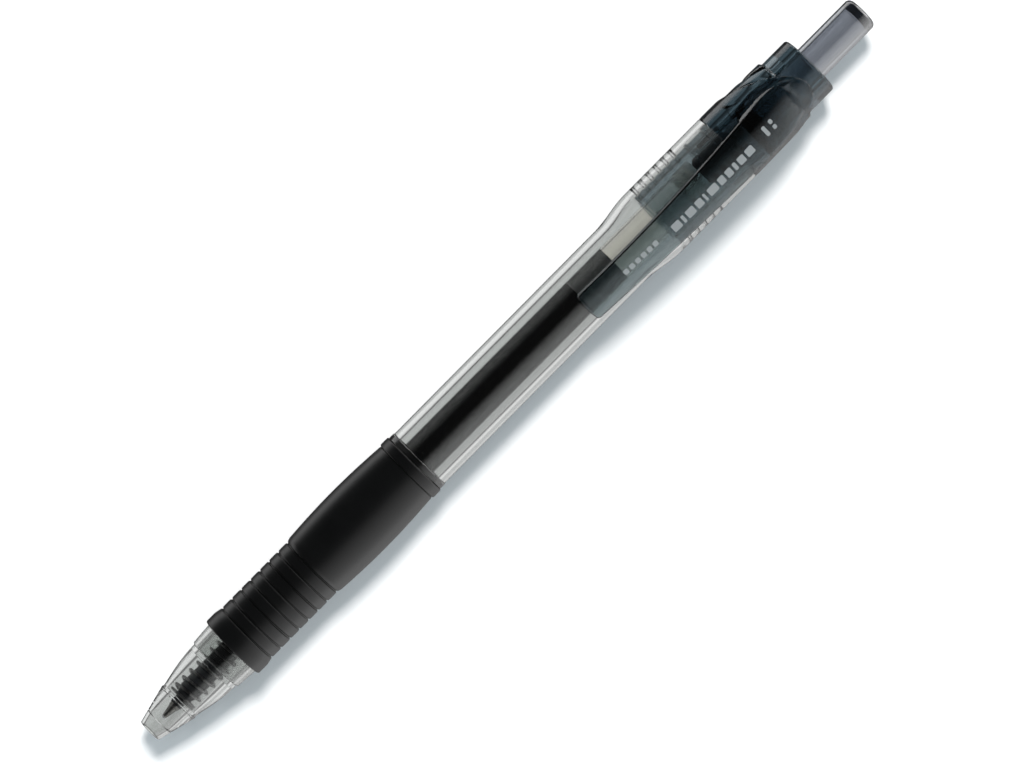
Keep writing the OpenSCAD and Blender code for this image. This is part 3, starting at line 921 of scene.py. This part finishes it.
def make_nib():
    """The metal cone and the ball in its front."""
    holder_front, ball_front = span("nib_holder")[0], span("ball")[0]
    ball_r, rim_r, shank_r = 0.345, 0.3, 0.8
    rim, cone_end, shank_end = ball_front + 0.26, holder_front - 0.5, holder_front + 0.31
    corners = [(rim, 0, 0), (rim, rim_r, 0.02), (rim + 0.04, 0.36, 0.03), (cone_end, 0.69, 0.05),
               (cone_end + 0.08, shank_r, 0.02), (shank_end, shank_r, 0), (shank_end, 0, 0)]
    refill_piece("nib_cone", corners, 64, NIB_STEEL, "nib")
    steps = 16
    ball = []
    for i in range(steps + 1):
        a = math.pi * i / steps
        ball.append((ball_front + ball_r - ball_r * math.cos(a), ball_r * math.sin(a)))
    dress(turned("nib_ball", ball, 32), BALL_STEEL, "refill", ["ball"])


# ---------------------------------------------------------------- spring

def make_spring():
    """Closed turns at both ends, open turns between."""
    start, end = span("spring")
    wire, coil_r, turns, closed, push = 0.4, 2.1, 15.5, 1.25, 6.3
    pitch = (end - start - wire - 2 * closed * wire) / (turns - 2 * closed)
    points = []
    per_turn = 28
    for i in range(int(turns * per_turn) + 1):
        t = i / per_turn
        x = min(t, closed) * wire + max(0, min(t, turns - closed) - closed) * pitch
        x += max(0, t - turns + closed) * wire
        points.append(at(start + wire / 2 + x, coil_r, -2 * math.pi * t))
    spring = wire_along("coil_spring", points, wire / 2 - 0.005)
    spring.data.materials.append(SPRING_STEEL)
    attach(spring, "housing")
    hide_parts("spring")
    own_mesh(spring)


# ---------------------------------------------------------------- studio

CLIP_TURN = math.radians(20)
PEN_SLANT = math.radians(45.28)
VIEW_WIDTH = 146.6 * MM
CAMERA_DISTANCE = 0.73
SHIFT_RIGHT = 0.85 * MM
SHIFT_DOWN = 1.85 * MM
SENSOR = 36.0
WHITE = (1, 1, 1, 1)
SKY_FILL = (0.44, 0.5, 0.53, 1)
KEY_SIDE = Vector((0.3, 0.6, 0.839))
KEY_DISTANCE = 1.2
KEY_SIZE = 0.24
KEY_POWER = 17.0
END_LIGHT = 2.0

ACROSS = Vector((1, 0, 0))
BACK = Vector((0, math.sin(CLIP_TURN), math.cos(CLIP_TURN)))
UP = BACK.cross(ACROSS)
PICTURE_RIGHT = ACROSS * math.cos(PEN_SLANT) - UP * math.sin(PEN_SLANT)
PICTURE_UP = ACROSS * math.sin(PEN_SLANT) + UP * math.cos(PEN_SLANT)


def make_camera():
    """Looks at the pen with its clip turned a little towards -Y and its line slanted in the picture."""
    data = bpy.data.cameras.new("camera")
    data.sensor_width = SENSOR
    data.lens = SENSOR * CAMERA_DISTANCE / VIEW_WIDTH
    data.clip_start, data.clip_end = 0.01, 20
    camera = bpy.data.objects.new("camera", data)
    bpy.context.scene.collection.objects.link(camera)
    centre = at(PEN_LEN / 2, 0) + PICTURE_RIGHT * SHIFT_RIGHT - PICTURE_UP * SHIFT_DOWN
    axes = Matrix((PICTURE_RIGHT, PICTURE_UP, BACK)).transposed()
    camera.matrix_world = Matrix.Translation(centre + BACK * CAMERA_DISTANCE) @ axes.to_4x4()
    bpy.context.scene.camera = camera


def make_key():
    """The soft lamp that throws the shadow. Gloss and glass show the studio's panels and not this lamp."""
    data = bpy.data.lights.new("key", "AREA")
    data.energy = KEY_POWER
    data.color = (1.0, 0.985, 0.97)
    data.size = KEY_SIZE
    lamp = bpy.data.objects.new("key", data)
    bpy.context.scene.collection.objects.link(lamp)
    middle = at(PEN_LEN / 2, 0)
    lamp.location = middle + KEY_SIDE.normalized() * KEY_DISTANCE
    lamp.rotation_mode = "QUATERNION"
    lamp.rotation_quaternion = (middle - lamp.location).to_track_quat("-Z", "Y")
    lamp.visible_glossy = False
    lamp.visible_transmission = False
    lamp.visible_camera = False


def make_floor():
    """A plain pale floor. Gloss and clear plastic show the world's table in its place."""
    mat, _, shader, _ = material("pale_floor")
    shader.inputs["Base Color"].default_value = (0.93, 0.93, 0.93, 1)
    shader.inputs["Roughness"].default_value = 0.9
    shader.inputs["Specular IOR Level"].default_value = 0.0
    bm = bmesh.new()
    bmesh.ops.create_circle(bm, cap_ends=True, radius=6.0, segments=96)
    mesh = bpy.data.meshes.new("floor")
    bm.to_mesh(mesh)
    bm.free()
    floor = bpy.data.objects.new("floor", mesh)
    bpy.context.scene.collection.objects.link(floor)
    floor.location.z = PEN_LOW.z - 0.02 * MM
    floor.data.materials.append(mat)
    floor.visible_glossy = False
    floor.visible_transmission = False


def grey(level):
    """A neutral colour."""
    return level, level, level


def gloss_panels(tree, axes):
    """What gloss shows: a big soft panel on the -Y side, a narrow one on the +Y side and a small one behind
    the push button, with dark between. Angles go from +Z towards -Y."""
    flipped = node(tree, "ShaderNodeMath", operation="MULTIPLY")
    flipped.inputs[1].default_value = -1.0
    angle = node(tree, "ShaderNodeMath", operation="ARCTAN2")
    share = node(tree, "ShaderNodeMapRange")
    share.inputs["From Min"].default_value = -math.pi
    share.inputs["From Max"].default_value = math.pi
    tree.links.new(axes.outputs[1], flipped.inputs[0])
    tree.links.new(flipped.outputs[0], angle.inputs[0])
    tree.links.new(axes.outputs[2], angle.inputs[1])
    tree.links.new(angle.outputs[0], share.inputs["Value"])
    levels = [(-180, 0.08), (180, 0.08), (-156, 0.08), (-145, 1.6), (-129, 1.6), (-116, 0.03), (-6, 0.03),
              (8, 0.55), (40, 1.25), (88, 2.0), (112, 1.0), (150, 0.2)]
    sides = ramp(tree, share.outputs["Result"],
                 [((degrees + 180) / 360, grey(level)) for degrees, level in levels])
    end_panel = node(tree, "ShaderNodeMapRange", interpolation_type="SMOOTHSTEP")
    end_panel.inputs["From Min"].default_value = 0.8
    end_panel.inputs["From Max"].default_value = 0.92
    end_panel.inputs["To Max"].default_value = END_LIGHT
    both = node(tree, "ShaderNodeMixRGB", blend_type="ADD", Fac=1.0)
    tree.links.new(axes.outputs[0], end_panel.inputs["Value"])
    tree.links.new(sides, both.inputs[1])
    tree.links.new(end_panel.outputs["Result"], both.inputs[2])
    return both.outputs[0]


def seen_table(tree, direction):
    """What clear plastic shows: a pale table, darker at a slant and where the pen's shadow lies."""
    below = node(tree, "ShaderNodeVectorMath", operation="DOT_PRODUCT")
    below.inputs[1].default_value = -BACK
    depth = node(tree, "ShaderNodeMapRange")
    depth.inputs["From Min"].default_value = -1.0
    tree.links.new(direction, below.inputs[0])
    tree.links.new(below.outputs["Value"], depth.inputs["Value"])
    levels = [(90, grey(0.8)), (0, (0.82, 0.83, 0.83)), (78, grey(0.8)), (68, grey(0.4)), (60, grey(0.18)),
              (54, grey(0.2)), (47, grey(0.8)), (35, grey(0.95))]
    table = ramp(tree, depth.outputs["Result"],
                 [((math.cos(math.radians(slant)) + 1) / 2, color) for slant, color in levels])
    beside = node(tree, "ShaderNodeVectorMath", operation="DOT_PRODUCT")
    beside.inputs[1].default_value = -UP
    tree.links.new(direction, beside.inputs[0])
    shade = ramp(tree, beside.outputs["Value"],
                 [(0.05, grey(1)), (0.62, grey(1)), (0.12, grey(0.65)), (0.52, grey(0.6))])
    shaded = node(tree, "ShaderNodeMixRGB", blend_type="MULTIPLY", Fac=1.0)
    tree.links.new(table, shaded.inputs[1])
    tree.links.new(shade, shaded.inputs[2])
    return shaded.outputs[0]


def make_world():
    """A studio as gloss and clear plastic see it. The camera sees white."""
    world = bpy.data.worlds.new("studio")
    bpy.context.scene.world = world
    world.use_nodes = True
    tree = world.node_tree
    background = next(n for n in tree.nodes if n.type == "BACKGROUND")
    direction = node(tree, "ShaderNodeTexCoord").outputs["Generated"]
    axes = node(tree, "ShaderNodeSeparateXYZ")
    path = node(tree, "ShaderNodeLightPath")
    horizon = node(tree, "ShaderNodeMapRange")
    horizon.inputs["From Min"].default_value = 0.45
    horizon.inputs["From Max"].default_value = 0.2
    through = node(tree, "ShaderNodeMath", operation="MULTIPLY")
    tree.links.new(direction, axes.inputs[0])
    tree.links.new(axes.outputs[2], horizon.inputs["Value"])
    tree.links.new(horizon.outputs["Result"], through.inputs[0])
    tree.links.new(path.outputs["Is Transmission Ray"], through.inputs[1])
    last = gloss_panels(tree, axes)
    for test, light in ((through.outputs[0], seen_table(tree, direction)),
                        (path.outputs["Is Diffuse Ray"], SKY_FILL),
                        (path.outputs["Is Camera Ray"], WHITE)):
        choice = node(tree, "ShaderNodeMixRGB")
        tree.links.new(test, choice.inputs[0])
        tree.links.new(last, choice.inputs[1])
        if isinstance(light, tuple):
            choice.inputs[2].default_value = light
        else:
            tree.links.new(light, choice.inputs[2])
        last = choice.outputs[0]
    tree.links.new(last, background.inputs[0])


def make_studio():
    make_camera()
    make_floor()
    make_world()
    make_key()
    scene = bpy.context.scene
    scene.view_settings.view_transform = "Standard"
    scene.cycles.max_bounces = 24
    scene.cycles.transmission_bounces = 24
    scene.cycles.transparent_max_bounces = 32


# ---------------------------------------------------------------- the pen

make_studio()
make_nose()
make_barrel()
make_grip()
make_cap()
make_clip()
make_marks()
make_button()
make_tube()
make_ink()
make_grease()
make_holder()
make_nib()
make_spring()

# The rotor and the tail plug show only dimly through the plastic, and keep their CAD shapes.
for name, mat in (("rotor", CAM), ("tail_plug", PLUG)):
    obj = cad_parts[name]
    obj.data.materials.clear()
    obj.data.materials.append(mat)
